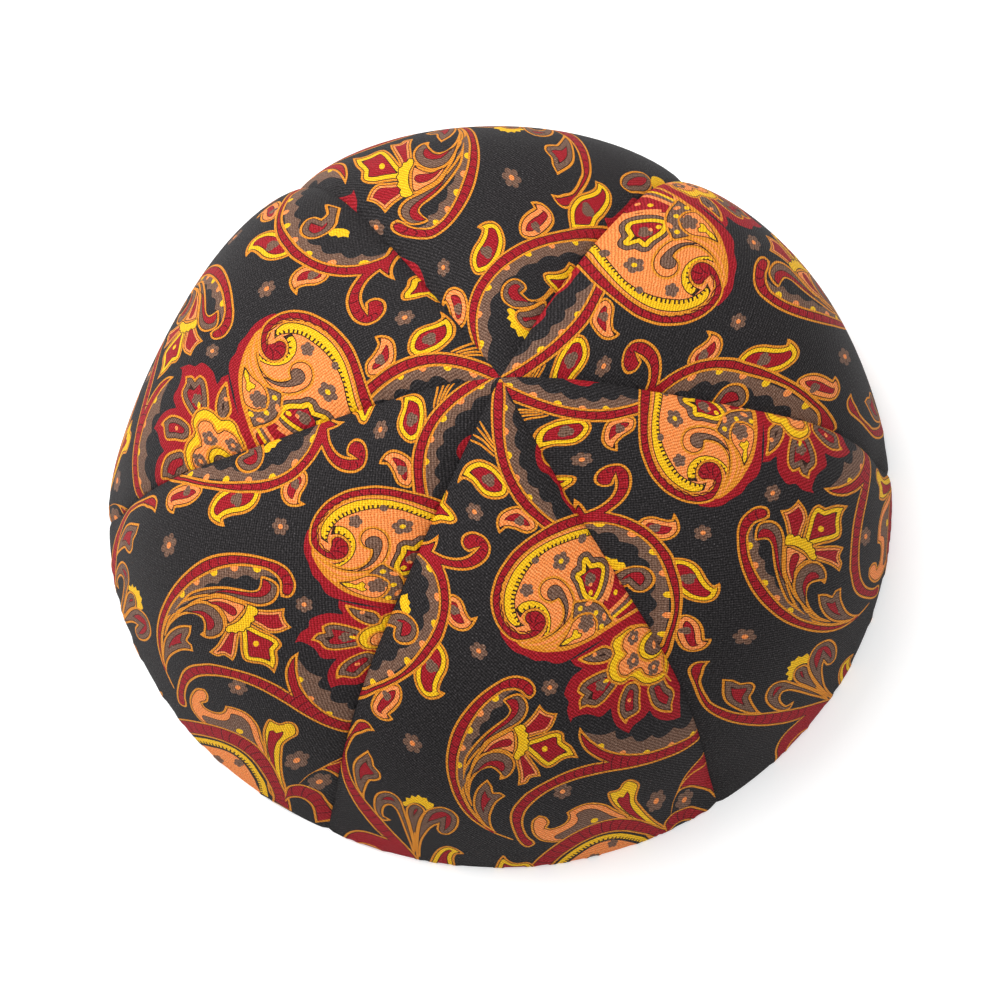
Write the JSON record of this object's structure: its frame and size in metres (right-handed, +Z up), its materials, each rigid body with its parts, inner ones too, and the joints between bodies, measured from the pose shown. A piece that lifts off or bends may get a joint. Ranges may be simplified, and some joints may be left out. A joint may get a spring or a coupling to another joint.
{
  "type": "kippah",
  "caption": "Round cloth skullcap of tapered panels sewn together at a crown point, worn on the top of the head.",
  "frame": {"origin": "centre of the rim's outline, on the surface that the cap rests on", "axes": "+Z up through the crown, -Y towards the front of the cap, +X to the right seen from the front"},
  "size_m": [0.187, 0.1834, 0.0765],
  "materials": {
    "printed_cotton": "charcoal cotton twill printed with a crimson, orange, yellow and brown paisley"
  },
  "bodies": {
    "root": {"panel_back_right": "printed_cotton", "panel_back": "printed_cotton", "panel_back_left": "printed_cotton", "panel_front_left": "printed_cotton", "panel_front": "printed_cotton", "panel_front_right": "printed_cotton"}
  },
  "joints": []
}
